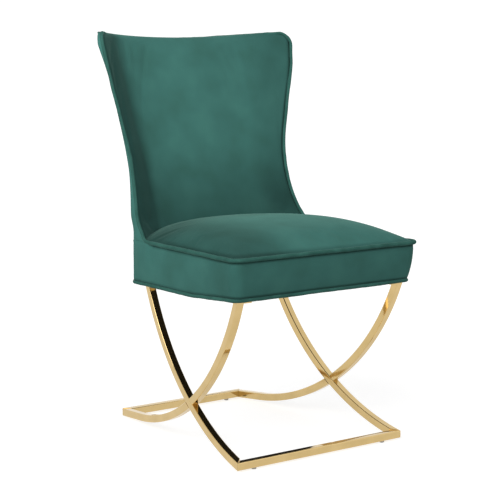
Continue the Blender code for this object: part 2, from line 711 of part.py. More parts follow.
def top_columns():
    """X of the columns of the top band, which the welt follows."""
    reach = wing_tip()[0] - 0.030
    return spread(reach, -reach, 18)


def top_band(finish):
    """The strip over the top, from the inside back to the welt at the rear."""
    over, under = [], []
    for share in spread(0, 1, 3):
        line = []
        for x in top_columns():
            z = top_z(x) - 0.0038
            near = face_y(x, z) + SKIN + 2 * GAP
            far = top_welt_y(x) - WELT_RADIUS - 1.5 * LAYER_CLEARANCE
            line.append((x, near + (far - near) * share, z))
        over.append(line)
        under.append([(x, y, z - SKIN) for x, y, z in line])
    slab("back_top_band", over, under, finish)


def back_welt(finish):
    """Piping up one wing, over its tip, behind the top edge and down the other wing."""
    low, corner = UPPER_WELT_Z + 0.010, BACK_TOP_TIP - WING_CORNER_RISE
    heights = spread(low, corner, 16)
    heights += [corner + WING_CORNER_RISE * math.sin(turn) for turn in spread(0.2, 1.45, 5)]
    right = [(*wing(z), z - max(z - corner, 0) * WELT_RADIUS / WING_CORNER_RISE) for z in heights]
    tip_x = right[-1][0] - 0.004
    near_tip = (tip_x + top_columns()[0]) / 2
    places = [tip_x, near_tip, *top_columns(), -near_tip, -tip_x]
    top = [(x, top_welt_y(x), top_z(x) - WELT_RADIUS) for x in places]
    left = [(-x, y, z) for x, y, z in reversed(right)]
    cord("back_welt", right + top + left, WELT_RADIUS - 0.0004, finish)


def behind_foam(x, z):
    """Y of the surface that the posts, rails and straps leave for the foam."""
    return face_y(x, z) + SKIN + BACK_FOAM + 2 * LAYER_CLEARANCE


def post_front(x, z):
    """Y of a post's front face: on the seat's rear rail, then behind the foam."""
    rail = seat_frame_ends()[1] + REAR_RAIL_THICKNESS + 2 * GAP
    return max(behind_foam(x, z) + WEB_THICKNESS, rail)


def post_x(z):
    """Half distance between the posts' middles, which open out with the wings."""
    return smooth(WING_LINE, 1, max(z, 0.62)) - POST_INSET


def back_post(side, word, finish, rows=20):
    front, behind = [], []
    for z in spread(SEAT_UNDERSIDE + 0.010, BACK_TOP_MIDDLE - 0.022, rows):
        middle = post_x(z)
        ends = [(x, post_front(x, z)) for x in spread(middle - POST_WIDTH / 2, middle + POST_WIDTH / 2, 2)]
        front.append([(side * x, y, z) for x, y in ends])
        behind.append([(side * x, y + POST_DEPTH, z) for x, y in ends])
    slab(f"back_post_{word}", front, behind, finish)


def back_rail(name, low, high, finish, columns=12):
    """A curved rail between the two posts."""
    front, behind = [], []
    for z in (low, high):
        end = post_x(z) - POST_WIDTH / 2 - GAP
        line = [(x, post_front(x, z)) for x in spread(-end, end, columns)]
        front.append([(x, y, z) for x, y in line])
        behind.append([(x, y + POST_DEPTH, z) for x, y in line])
    slab(name, front, behind, finish)


def back_webbing(finish, columns=12):
    """Elastic straps across the fronts of the posts, under the foam."""
    for number, z in enumerate(spread(0.580, 0.820, 2), 1):
        front, behind = [], []
        for height in (z - WEB_WIDTH / 2, z + WEB_WIDTH / 2):
            end = post_x(height) + POST_WIDTH / 2 - 0.004
            line = [(x, behind_foam(x, height) + GAP) for x in spread(-end, end, columns)]
            front.append([(x, y, height) for x, y in line])
            behind.append([(x, y + WEB_THICKNESS / 2, height) for x, y in line])
        slab(f"back_web_{number}", front, behind, finish)


# ---------------------------------------------------------------- assembly
def build_base(finishes):
    gold = finishes["gold"]
    base_rail("base_front_rail", FRONT_Y, FRONT_Y + TUBE, gold)
    base_rail("base_rear_rail", REAR_Y, REAR_Y - TUBE, gold)
    for word, side in (("left", -1), ("right", 1)):
        leg_bars(side, word, gold)
        for place, rail_y in (("front", FRONT_Y + TUBE / 2), ("rear", REAR_Y - TUBE / 2)):
            x = side * (base_half(rail_y) - TUBE - 0.032)
            glide(f"glide_{place}_{word}", x, rail_y, finishes["plastic"])
    for word, side, y, inward in bar_tops():
        mounting_plate(word, side, y, inward, gold)
        mounting_screws(word, side, y, inward, finishes["zinc"])


def build_seat(finishes):
    wood = finishes["wood"]
    front, rear = seat_frame_ends()
    for word, side in (("left", -1), ("right", 1)):
        seat_side_rail(side, word, wood)
    cross_member("seat_rail_front", front, RAIL_THICKNESS, RAIL_HEIGHT, wood)
    cross_member("seat_bearer_front", front + RAIL_THICKNESS + GAP, BEARER_WIDTH, BEARER_HEIGHT, wood)
    cross_member("seat_bearer_rear", rear - BEARER_WIDTH, BEARER_WIDTH, BEARER_HEIGHT, wood)
    seat_rear_rail(wood)
    seat_webbing(finishes["webbing"], front, rear + REAR_RAIL_THICKNESS)
    seat_layer("seat_foam", SKIN + WADDING + 2 * LAYER_CLEARANCE, None, finishes["foam"])
    seat_layer("seat_wadding", SKIN + LAYER_CLEARANCE, WADDING, finishes["wadding"])
    seat_layer("seat_top_cover", 0.0, SKIN, finishes["velvet"])
    seat_border(finishes["velvet"])
    dust_cover(finishes["dust"])
    upper_welt(finishes["piping"])
    lower_welt(finishes["piping"])


def build_back(finishes):
    wood = finishes["wood"]
    for word, side in (("left", -1), ("right", 1)):
        back_post(side, word, wood)
        side_band(side, word, finishes["velvet"])
    back_rail("back_top_rail", 0.872, 0.912, wood)
    back_rail("back_lower_rail", 0.500, 0.540, wood)
    back_webbing(finishes["webbing"])
    back_foam(finishes["foam"])
    inside_back_cover(finishes["velvet"])
    outside_back_cover(finishes["velvet"])
    top_band(finishes["velvet"])
    back_welt(finishes["piping"])


def main():
    for old in list(bpy.data.objects):
        bpy.data.objects.remove(old, do_unlink=True)
    finishes = make_materials()
    build_base(finishes)
    build_seat(finishes)
    build_back(finishes)


main()
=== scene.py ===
# %% [markdown]
# # A winged dining chair in green velvet on a polished gold base
#
# The solid model gives the frame: every solid sits in one shared space, in metres, with the
# floor at Z = 0, the front of the seat towards -Y and X across the seat. Each cell below makes
# one piece of the chair, or one finish, around that frame.

# %% Load the frame
import json
import math

import bmesh
import bpy
import numpy as np
from mathutils import Matrix, Vector, noise


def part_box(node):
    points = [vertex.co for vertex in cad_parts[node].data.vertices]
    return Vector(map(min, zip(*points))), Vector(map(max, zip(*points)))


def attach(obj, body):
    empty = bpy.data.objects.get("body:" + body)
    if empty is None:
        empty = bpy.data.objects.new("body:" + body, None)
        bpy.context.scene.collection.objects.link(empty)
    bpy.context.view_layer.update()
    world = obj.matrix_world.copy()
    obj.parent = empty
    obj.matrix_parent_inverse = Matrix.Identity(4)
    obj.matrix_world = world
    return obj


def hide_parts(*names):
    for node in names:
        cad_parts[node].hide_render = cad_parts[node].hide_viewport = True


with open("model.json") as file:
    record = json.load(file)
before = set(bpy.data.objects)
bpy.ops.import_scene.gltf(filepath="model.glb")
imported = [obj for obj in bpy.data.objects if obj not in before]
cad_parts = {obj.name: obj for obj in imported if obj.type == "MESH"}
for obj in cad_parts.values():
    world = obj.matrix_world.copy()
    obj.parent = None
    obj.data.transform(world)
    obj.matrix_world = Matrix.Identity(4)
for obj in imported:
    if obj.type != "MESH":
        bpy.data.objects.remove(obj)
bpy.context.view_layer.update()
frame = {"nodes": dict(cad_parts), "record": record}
scene = bpy.context.scene

# %% [markdown]
# ## The camera
#
# A lens of about 108 mm, held a little below the chair's top and turned 36 degrees to its left,
# sees the seat's front and left side, the hollow of the back and the whole base. It comes first
# because every later choice is judged through it.

# %% Camera
camera_data = bpy.data.cameras.new("studio_camera")
camera_data.lens = 107.8
camera_data.sensor_width = 36.0
camera = bpy.data.objects.new("studio_camera", camera_data)
camera.location = (-2.0811, -2.8682, 0.9375)
camera.rotation_euler = (math.radians(90 - 8.01), 0.0, math.radians(-36.13))
scene.collection.objects.link(camera)
scene.camera = camera
print("camera at", tuple(camera.location))

# %% [markdown]
# ## Small tools for finishes
#
# A finish is a set of shader nodes. Its colours are written as sRGB hex values, which one
# function turns to the linear values that a shader wants, and one small function adds a node
# together with its settings and its links.


# %% Colour and node helpers
def linear(code):
    """An sRGB hex value as linear red, green, blue and alpha."""
    parts = [int(code[i : i + 2], 16) / 255 for i in (0, 2, 4)]
    return (*[p / 12.92 if p <= 0.04045 else ((p + 0.055) / 1.055) ** 2.4 for p in parts], 1.0)


def add(tree, kind, links=None, settings=None, **values):
    """A new node: links maps an input to an output, settings are its own fields."""
    made = tree.nodes.new(kind)
    for field, value in (settings or {}).items():
        setattr(made, field, value)
    for socket, value in values.items():
        made.inputs[socket.replace("_", " ")].default_value = value
    for socket, source in (links or {}).items():
        tree.links.new(source, made.inputs[socket])
    return made


def new_finish(name):
    """A material, its node tree, its shader and the Object coordinates."""
    made = bpy.data.materials.new(name)
    made.use_nodes = True
    tree = made.node_tree
    place = add(tree, "ShaderNodeTexCoord")
    return made, tree, tree.nodes["Principled BSDF"], place.outputs["Object"]


def ramp(tree, source, stops):
    """A colour ramp between (position, hex) stops."""
    made = add(tree, "ShaderNodeValToRGB", {"Fac": source})
    for stop, (position, code) in zip(made.color_ramp.elements, stops):
        stop.position, stop.color = position, linear(code)
    for position, code in stops[2:]:
        made.color_ramp.elements.new(position).color = linear(code)
    return made.outputs["Color"]


print("helpers ready")

# %% [markdown]
# ## Velvet
#
# Velvet is a woven cloth with a dense, short pile. Light sinks between the upright fibres, so the
# cloth is dark where it faces the eye and pale at its edges, and wherever a hand has brushed the
# pile the tone shifts. A sheen layer gives the pale edges. Broad noise gives the brushed
# patches, and a fine grain, drawn coarser than real fibres so that it shows, gives the nap. Shade
# is also painted into the colour: an attribute on each panel darkens it where shade falls and
# lightens it a little where light falls.


# %% Velvet finishes
def velvet(name, dark, mid, light, patch_mm=80.0, nap_mm=1.3):
    made, tree, shader, place = new_finish(name)
    patches = add(tree, "ShaderNodeTexNoise", {"Vector": place}, Scale=1000 / patch_mm,
                  Detail=2.0, Roughness=0.5)
    nap = add(tree, "ShaderNodeTexNoise", {"Vector": place}, Scale=1000 / nap_mm,
              Detail=2.0, Roughness=0.6)
    mixed = add(tree, "ShaderNodeMath", {0: patches.outputs["Fac"]}, {"operation": "MULTIPLY_ADD"})
    mixed.inputs[1].default_value = 0.8
    grain = add(tree, "ShaderNodeMath", {0: nap.outputs["Fac"]}, {"operation": "MULTIPLY"})
    grain.inputs[1].default_value = 0.2
    tree.links.new(grain.outputs[0], mixed.inputs[2])
    pile = ramp(tree, mixed.outputs[0], [(0.30, dark), (0.70, light), (0.5, mid)])
    # Painted shade and light: this attribute darkens the pile's colour where shade falls on a panel
    # and lightens it a little where none is painted.
    painted_shade = add(tree, "ShaderNodeAttribute", settings={"attribute_name": "painted_shade"})
    depth = add(tree, "ShaderNodeMapRange", {"Value": painted_shade.outputs["Fac"]})
    depth.inputs["To Min"].default_value, depth.inputs["To Max"].default_value = 1.15, 0.4
    toned = add(tree, "ShaderNodeHueSaturation", {"Color": pile, "Value": depth.outputs[0]})
    tree.links.new(toned.outputs[0], shader.inputs["Base Color"])
    soft = add(tree, "ShaderNodeBump", {"Height": patches.outputs["Fac"]}, Strength=0.2,
               Distance=0.0015)
    fine = add(tree, "ShaderNodeBump", {"Height": nap.outputs["Fac"], "Normal": soft.outputs[0]},
               Strength=0.35, Distance=0.0004)
    tree.links.new(fine.outputs[0], shader.inputs["Normal"])
    shader.inputs["Roughness"].default_value = 0.92
    shader.inputs["Specular IOR Level"].default_value = 0.1
    shader.inputs["Sheen Weight"].default_value = 0.28
    shader.inputs["Sheen Roughness"].default_value = 0.36
    shader.inputs["Sheen Tint"].default_value = linear("9CCFC0")
    return made


green_velvet = velvet("green_velvet", "36625A", "3A6962", "3F7068")
# The piping is given darker colours than the panels, as painted shade for the shadow along its
# seams.
shaded_piping_velvet = velvet("shaded_piping_velvet", "284D46", "2F5850", "366259", patch_mm=30.0)
print("velvet finishes:", green_velvet.name, shaded_piping_velvet.name)

# %% [markdown]
# ## Gold-plated steel
#
# The base is steel tube, ground, polished and plated, so it is a tinted mirror. Almost all of its
# look is what it reflects. Faint polishing marks and a few smudges vary the roughness a little.


# %% Gold plating
def gold_plate():
    made, tree, shader, place = new_finish("gold_plated_steel")
    smudge = add(tree, "ShaderNodeTexNoise", {"Vector": place}, Scale=1000 / 40, Detail=3.0)
    spread_out = add(tree, "ShaderNodeMapRange", {"Value": smudge.outputs["Fac"]})
    spread_out.inputs["To Min"].default_value = 0.03
    spread_out.inputs["To Max"].default_value = 0.09
    tree.links.new(spread_out.outputs[0], shader.inputs["Roughness"])
    tree.links.new(ramp(tree, smudge.outputs["Fac"], [(0.3, "C4AA76"), (0.7, "CDB37F")]),
                   shader.inputs["Base Color"])
    marks = add(tree, "ShaderNodeTexNoise", {"Vector": place}, Scale=1000 / 1.5, Detail=1.0)
    bump = add(tree, "ShaderNodeBump", {"Height": marks.outputs["Fac"]}, Strength=0.03,
               Distance=0.0002)
    tree.links.new(bump.outputs[0], shader.inputs["Normal"])
    shader.inputs["Metallic"].default_value = 1.0
    return made


gold = gold_plate()
print("gold plating:", gold.name)

# %% [markdown]
# ## Finishes inside and underneath
#
# Birch has straight, close grain along the rail. Zinc plating is a dull bright metal. Nylon,
# spunbond cloth and elastic strap are plain, and need only a fine texture at its real scale.


# %% Birch, zinc, nylon, cloth and strap
def birch():
    made, tree, shader, place = new_finish("birch_wood")
    turn = add(tree, "ShaderNodeMapping", {"Vector": place})
    turn.inputs["Scale"].default_value = (1.0, 9.0, 9.0)
    grain = add(tree, "ShaderNodeTexNoise", {"Vector": turn.outputs[0]}, Scale=1000 / 24,
                Detail=6.0, Roughness=0.6)
    tree.links.new(ramp(tree, grain.outputs["Fac"], [(0.3, "B98F5E"), (0.72, "DDBE8F")]),
                   shader.inputs["Base Color"])
    bump = add(tree, "ShaderNodeBump", {"Height": grain.outputs["Fac"]}, Strength=0.2,
               Distance=0.0003)
    tree.links.new(bump.outputs[0], shader.inputs["Normal"])
    shader.inputs["Roughness"].default_value = 0.62
    return made


def grainy(name, low, high, grain_mm, roughness, strength=0.3, metallic=0.0):
    """A plain finish with one fine grain in its colour and its bump."""
    made, tree, shader, place = new_finish(name)
    grain = add(tree, "ShaderNodeTexNoise", {"Vector": place}, Scale=1000 / grain_mm, Detail=3.0)
    tree.links.new(ramp(tree, grain.outputs["Fac"], [(0.35, low), (0.65, high)]),
                   shader.inputs["Base Color"])
    bump = add(tree, "ShaderNodeBump", {"Height": grain.outputs["Fac"]}, Strength=strength,
               Distance=grain_mm / 8000)
    tree.links.new(bump.outputs[0], shader.inputs["Normal"])
    shader.inputs["Roughness"].default_value = roughness
    shader.inputs["Metallic"].default_value = metallic
    return made


inner_finishes = {
    "wood": birch(),
    "zinc": grainy("zinc_plated_steel", "A5A8AA", "C3C5C6", 3.0, 0.32, 0.1, 1.0),
    "plastic": grainy("clear_nylon", "A9A6A0", "B9B6AF", 1.2, 0.45, 0.15),
    "dust": grainy("black_spunbond_cloth", "0D0D0D", "1B1B1B", 1.6, 0.95, 0.6),
    "webbing": grainy("elastic_webbing", "3E352A", "6B5D48", 2.4, 0.9, 0.6),
    "foam": grainy("polyurethane_foam", "D8CDA0", "E6DDB8", 2.0, 0.95, 0.5),
    "wadding": grainy("polyester_wadding", "D9D9D5", "ECECEA", 4.0, 0.95, 0.5),
    "gold": gold,
    "velvet": green_velvet,
    "piping": shaded_piping_velvet,
}
slots = {entry["node"]: entry["material_slot"] for entry in frame["record"]["subparts"]}
for name, solid in frame["nodes"].items():
    solid.data.materials.clear()
    solid.data.materials.append(inner_finishes[slots[name]])
print("finishes given to", len(slots), "solids")

# %% [markdown]
# ## Making a piece
#
# Most pieces of upholstery start as a flat grid whose corners are moved to a shape, with u across
# from -1 to 1 and v up from 0 to 1. Every piece rides on the one body, hides the solids that it
# stands for, and takes the finish that it is given.


# %% Piece helpers
def grid(across, up, place):
    """A sheet of quads with each corner moved to place(u, v)."""
    bm = bmesh.new()
    bmesh.ops.create_grid(bm, x_segments=across, y_segments=up, size=1.0)
    for corner in bm.verts:
        corner.co = place(corner.co.x, (corner.co.y + 1) / 2)
    return bm


def piece(name, bm, finish, slot, *nodes, sharp=40.0):
    """An object from a bmesh that rides on the chair and stands for some solids."""
    mesh = bpy.data.meshes.new(name)
    bm.to_mesh(mesh)
    bm.free()
    mesh.materials.append(finish)
    mesh.shade_smooth()
    mesh.set_sharp_from_angle(angle=math.radians(sharp))
    made = bpy.data.objects.new(name, mesh)
    scene.collection.objects.link(made)
    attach(made, "root")
    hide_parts(*nodes)
    return made


def smooth(made):
    """Rounds a piece by one level of subdivision."""
    rounder = made.modifiers.new("rounding", "SUBSURF")
    rounder.levels = rounder.render_levels = 1


def thicken(made, thickness):
    """Gives a sheet its thickness, inwards, then rounds it."""
    wall = made.modifiers.new("thickness", "SOLIDIFY")
    wall.thickness = thickness
    wall.offset = -1.0
    smooth(made)


def face_towards(bm, direction, probe=0):
    """Turns the faces of a sheet so that the probed one looks along a direction."""
    bmesh.ops.recalc_face_normals(bm, faces=bm.faces)
    if bm.faces[probe].normal.dot(Vector(direction)) < 0:
        bmesh.ops.reverse_faces(bm, faces=bm.faces)


def paint_shade(made, tone):
    """Paints shade into a piece's colour: an attribute from tone(co), between 0 and 1, where 1 is
    the deepest painted shade.
    """
    shade_layer = made.data.attributes.new("painted_shade", "FLOAT", "POINT")
    for corner, value in zip(made.data.vertices, shade_layer.data):
        value.value = min(max(tone(corner.co), 0.0), 1.0)


def ripple(point, size_mm, seed=0.0):
    """Smooth noise from about -1 to 1 whose waves are size_mm long."""
    return noise.noise(Vector(point) * (1000 / size_mm) + Vector((seed, 3.1 * seed, 0.0)))


def ease(low, high, value):
    """0 below low, 1 above high, and smooth between them."""
    share = min(max((value - low) / (high - low), 0.0), 1.0)
    return share * share * (3 - 2 * share)


def round_over(distance, radius):
    """0 at an edge and 1 a radius away from it, along a quarter circle."""
    return math.sqrt(max(1 - (1 - min(max(distance / radius, 0.0), 1.0)) ** 2, 0.0))


print("piece helpers ready")

# %% [markdown]
# ## Outlines
#
# The back is drawn by stations: rows of a height and of the sizes measured there. A smooth curve
# through the stations gives any height between them. The seat's outline is two straight sides
# and a straight front with rounded corners.

# %% Sizes of the upholstery
SEAT_FRONT, SEAT_SEAM_Y = -0.3215, 0.104
SEAT_FRONT_HALF, SEAT_REAR_HALF = 0.262, 0.250
BORDER_DRAFT = 0.010
SEAT_CORNER = 0.024
SEAM_GAP = 0.0015
UPPER_WELT_Z, LOWER_WELT_Z, LOWER_WELT_DROP = 0.4725, 0.3830, 0.011
WELT = 0.0042
BACK_TOP_MIDDLE, BACK_TOP_TIP = 0.944, 0.9575
WING_CORNER_RISE, WING_CORNER_WIDTH = 0.034, 0.022
FACE_POWER = 3.4
PANEL_THICKNESS, BAND_THICKNESS, PAD_THICKNESS = 0.0022, 0.0020, 0.006
SIDES = (("left", -1), ("right", 1))
# Height, half width at the wing's edge, Y of that edge, Y of the inside back's middle.
WING_LINE = (
    (0.4620, 0.2490, 0.0480, 0.134),
    (0.5145, 0.2400, 0.0990, 0.156),
    (0.5745, 0.2300, 0.1265, 0.181),
    (0.6345, 0.2270, 0.1425, 0.200),
    (0.6945, 0.2330, 0.1550, 0.217),
    (0.7845, 0.2520, 0.1665, 0.238),
    (0.8745, 0.2710, 0.1760, 0.260),
    (0.9575, 0.2810, 0.1940, 0.281),
)
# Height, Y of the outside back's middle, width of the side band, how far its rear edge is inset,
# and how squarely the outside back turns into the sides.
REAR_LINE = (
    (0.3790, 0.2020, 0.050, 0.001, 3.4),
    (0.4745, 0.2160, 0.038, 0.001, 4.0),
    (0.6000, 0.2460, 0.020, 0.003, 3.7),
    (0.7500, 0.2840, 0.017, 0.006, 3.6),
    (0.8500, 0.3060, 0.016, 0.007, 3.8),
    (0.9575, 0.3270, 0.017, 0.002, 4.0),
)


# %% Curves through the stations
def station(line, column, height):
    """Value of a column at a height, on a smooth curve through the stations."""
    rows = [line[0], *line, line[-1]]
    span = 0
    while span < len(line) - 2 and height > line[span + 1][0]:
        span += 1
    before, start, end, after = rows[span : span + 4]
    step = end[0] - start[0]
    t = min(max((height - start[0]) / step, 0.0), 1.0)
    slope_in = (end[column] - before[column]) / max(end[0] - before[0], step) * step
    slope_out = (after[column] - start[column]) / max(after[0] - start[0], step) * step
    return ((2 * t**3 - 3 * t**2 + 1) * start[column] + (t**3 - 2 * t**2 + t) * slope_in
            + (3 * t**2 - 2 * t**3) * end[column] + (t**3 - t**2) * slope_out)


def face_y(x, height):
    """Y of the inside back."""
    half, edge = station(WING_LINE, 1, height), station(WING_LINE, 2, height)
    middle = station(WING_LINE, 3, height)
    return middle - (middle - edge) * min(abs(x / half), 1.0) ** FACE_POWER


def wing(height):
    """Half width and Y of the wing's edge, with the rounding of its upper corner."""
    into = min(max((height - BACK_TOP_TIP) / WING_CORNER_RISE + 1, 0.0), 1.0)
    half = station(WING_LINE, 1, height) - WING_CORNER_WIDTH * (1 - math.sqrt(1 - into**2))
    return half, face_y(half, height)


def rear_edge(height):
    """Half width and Y of the line where the side band meets the outside back."""
    band, inset = station(REAR_LINE, 2, height), station(REAR_LINE, 3, height)
    half, edge = wing(height)
    blend = ease(UPPER_WELT_Z + WELT, UPPER_WELT_Z + WELT + 0.05, height)
    side = (1 - blend) * SEAT_REAR_HALF + blend * half - inset
    return side, (1 - blend) * SEAT_SEAM_Y + blend * (edge + band)


def rear_y(x, height):
    """Y of the outside back."""
    half, edge = rear_edge(height)
    middle, power = station(REAR_LINE, 1, height), station(REAR_LINE, 4, height)
    return middle - (middle - edge) * min(abs(x / half), 1.0) ** power


def top_z(x):
    """Height of the back's top edge, which dips between the wing tips."""
    return BACK_TOP_MIDDLE + (BACK_TOP_TIP - BACK_TOP_MIDDLE) * min(abs(x) / 0.25, 1.0) ** 2


def lower_welt_z(y):
    """Height of the lower welt, which hangs lower behind the front corners."""
    return LOWER_WELT_Z - LOWER_WELT_DROP * ease(SEAT_FRONT, SEAT_FRONT + 0.22, y)


def seat_outline(inset, draft, rear):
    """Plan of the seat from the left rear, round the front, to the right rear."""
    front, front_half = SEAT_FRONT + draft + inset, SEAT_FRONT_HALF - draft - inset
    radius = max(SEAT_CORNER - inset, 0.004)
    taper = (SEAT_REAR_HALF - inset - front_half) / (SEAT_SEAM_Y - front)
    turns = [math.pi / 2 * step / 14 for step in range(15)]
    right = [(front_half - radius + radius * math.sin(turn),
              front + radius - radius * math.cos(turn)) for turn in turns]
    for step in range(1, 13):
        y = front + radius + (rear - front - radius) * step / 12
        right.append((front_half + taper * (y - front), y))
    return [(-x, y) for x, y in reversed(right)] + right


def along(points, share):
    """The point at a share of a line's length."""
    line = np.array(points, float)
    length = np.concatenate([[0], np.cumsum(np.linalg.norm(np.diff(line, axis=0), axis=1))])
    return Vector([np.interp(share * length[-1], length, line[:, k]) for k in range(line.shape[1])])


print("the back is", round(2 * wing(0.63)[0], 3), "m wide at its waist")

# %% [markdown]
# ## The gold base
#
# Each side is an X of curved square tube. The long bar runs through, from the front foot to the
# rear of the seat, and two shorter bars are cut and welded against it. A straight rail joins the
# front feet and another the rear feet, mitred at the corners. A rounded square is spun about the
# middle of the curve in many small steps, because every facet would show in a polished surface,
# and planes trim the ends.

# %% Sizes of the base
FRONT_Y, REAR_Y = -0.296, 0.2775
TUBE, TUBE_CORNER = 0.018, 0.0022
BASE_HALF_WIDTH, BASE_TAPER = 0.2080, 0.099
FOOT_Z = 0.0045 + TUBE / 2
# Y and Z of each arc's centre, and its radius.
LONG_ARC = (-0.4188, 0.6140, 0.6131)
SHORT_ARC = (0.2329, 0.5772, 0.5595)
BAR_TOP = 0.3752
SAW_CUT = 0.0001
RAIL_REACH = 0.27


# %% Tube helpers
def frame_axes(side):
    """Direction along a side frame, and its normal pointing outwards."""
    forward = Vector((-side * BASE_TAPER, 1.0, 0.0)).normalized()
    return forward, Vector((side * forward.y, -side * forward.x, 0.0))


def tube_section(bm, centre, across, up):
    """The rounded square that is swept into a tube."""
    turn = Matrix((across, up, across.cross(up))).transposed().to_4x4()
    made = bmesh.ops.create_grid(bm, x_segments=1, y_segments=1, size=TUBE / 2,
                                 matrix=Matrix.Translation(centre) @ turn)
    bmesh.ops.bevel(bm, geom=made["verts"], offset=TUBE_CORNER, segments=4, profile=0.5,
                    affect="VERTICES", material=-1)


def saw(bm, point, normal):
    """Cuts the tube, keeps what lies on the normal's side and closes the end."""
    whole = list(bm.verts) + list(bm.edges) + list(bm.faces)
    cut = bmesh.ops.bisect_plane(bm, geom=whole, plane_co=point, plane_no=normal,
                                 clear_inner=True, dist=1e-7)
    edges = [part for part in cut["geom_cut"] if isinstance(part, bmesh.types.BMEdge)]
    bmesh.ops.edgeloop_fill(bm, edges=edges)


def push(bm, faces, step):
    """Extrudes the end face of a tube."""
    grown = bmesh.ops.extrude_face_region(bm, geom=faces)["geom"]
    moved = [part for part in grown if isinstance(part, bmesh.types.BMVert)]
    bmesh.ops.translate(bm, vec=step, verts=moved)


def bent_tube(side, arc, low, high, steps, tail=0.0):
    """A tube bent to an arc in a side frame's plane, with a straight tail at its rear end."""
    centre_y, centre_z, radius = arc
    forward, outward = frame_axes(side)
    middle = Vector((side * (BASE_HALF_WIDTH - BASE_TAPER * centre_y), centre_y, centre_z))
    middle -= outward * TUBE / 2
    radial = forward * math.sin(low) - Vector((0, 0, 1)) * math.cos(low)
    bm = bmesh.new()
    tube_section(bm, middle + radial * radius, outward, radial)
    spun = bmesh.ops.spin(bm, geom=list(bm.faces), cent=middle, axis=outward,
                          angle=side * (high - low), steps=steps, use_duplicate=False)
    if tail:
        ends = [part for part in spun["geom_last"] if isinstance(part, bmesh.types.BMFace)]
        push(bm, ends, (forward * math.cos(high) + Vector((0, 0, 1)) * math.sin(high)) * tail)
        inside = [face for face in ends if face.is_valid]
        bmesh.ops.delete(bm, geom=inside, context="FACES_ONLY")
    bmesh.ops.remove_doubles(bm, verts=bm.verts, dist=1e-7)
    bmesh.ops.recalc_face_normals(bm, faces=bm.faces)
    return bm


def mitre(bm, side, outer_y, inner_y, keep):
    """Saws a tube along the mitre at a corner of the base, keeping the side of a point."""
    outer = Vector((side * (BASE_HALF_WIDTH - BASE_TAPER * outer_y), outer_y, 0))
    inner = Vector((side * (BASE_HALF_WIDTH - BASE_TAPER * inner_y - TUBE), inner_y, 0))
    normal = Vector((outer.y - inner.y, inner.x - outer.x, 0)).normalized()
    normal *= 1 if (keep - outer).dot(normal) > 0 else -1
    saw(bm, outer + normal * SAW_CUT, normal)


def crossing():
    """Y and Z where the two arcs of a side frame cross."""
    (y1, z1, r1), (y2, z2, r2) = LONG_ARC, SHORT_ARC
    lean = frame_axes(1)[0].y
    wide, tall = (y2 - y1) / lean, z2 - z1
    apart = math.hypot(wide, tall)
    first = (apart**2 + r1**2 - r2**2) / (2 * apart)
    height = math.sqrt(r1**2 - first**2)
    return (y1 + (wide * first + tall * height) / apart * lean,
            z1 + (tall * first - wide * height) / apart)


print("the bars cross at", [round(v, 3) for v in crossing()])

# %% Bars and rails
def tube(name, bm, node):
    """A finished gold tube. Its normals follow the large faces, so that flats mirror as flats."""
    made = piece(name, bm, gold, "gold", node, sharp=25)
    flats = made.modifiers.new("true_flats", "WEIGHTED_NORMAL")
    flats.keep_sharp = True


cross_y, cross_z = crossing()
top_plane, down = Vector((0, 0, BAR_TOP)), Vector((0, 0, -1))
for word, side in SIDES:
    inside = Vector((side * 0.2, 0, 0))
    forward, outward = frame_axes(side)
    at_cross = Vector((side * (BASE_HALF_WIDTH - BASE_TAPER * cross_y), cross_y, cross_z))
    radial = (forward * (cross_y - LONG_ARC[0]) / forward.y
              + Vector((0, 0, cross_z - LONG_ARC[1]))).normalized()

    bm = bent_tube(side, LONG_ARC, math.radians(8), math.radians(71), 110)
    mitre(bm, side, FRONT_Y, FRONT_Y + TUBE, inside)
    saw(bm, top_plane, down)
    tube(f"long_bar_{word}", bm, f"leg_bar_long_{word}")

    bm = bent_tube(side, SHORT_ARC, math.radians(-72), math.radians(-25), 80)
    saw(bm, top_plane, down)
    saw(bm, at_cross - radial * (TUBE / 2 + SAW_CUT), -radial)
    tube(f"upper_bar_{word}", bm, f"leg_bar_upper_{word}")

    bm = bent_tube(side, SHORT_ARC, math.radians(-42), math.radians(-5), 60, tail=0.15)
    saw(bm, at_cross + radial * (TUBE / 2 + SAW_CUT), radial)
    mitre(bm, side, REAR_Y, REAR_Y - TUBE, inside)
    tube(f"lower_bar_{word}", bm, f"leg_bar_lower_{word}")

for word, outer_y, inner_y in (("front", FRONT_Y, FRONT_Y + TUBE),
                               ("rear", REAR_Y, REAR_Y - TUBE)):
    bm = bmesh.new()
    tube_section(bm, Vector((-RAIL_REACH, (outer_y + inner_y) / 2, FOOT_Z)), Vector((0, 1, 0)),
                 Vector((0, 0, 1)))
    push(bm, list(bm.faces), (2 * RAIL_REACH, 0, 0))
    bmesh.ops.recalc_face_normals(bm, faces=bm.faces)
    for side in (-1, 1):
        mitre(bm, side, outer_y, inner_y, Vector((0, (outer_y + inner_y) / 2, 0)))
    tube(f"{word}_rail", bm, f"base_{word}_rail")

# %% [markdown]
# ## Letting foam fill its cover
#
# A cushion is a cover pulled over foam that is a little too big for it. A cloth simulation does
# the same: the cover is held at its seams, a light pressure pushes it out from inside, and a cap
# keeps any corner from moving further than real foam would. A cover cut slightly too large
# gathers a little near its seams.


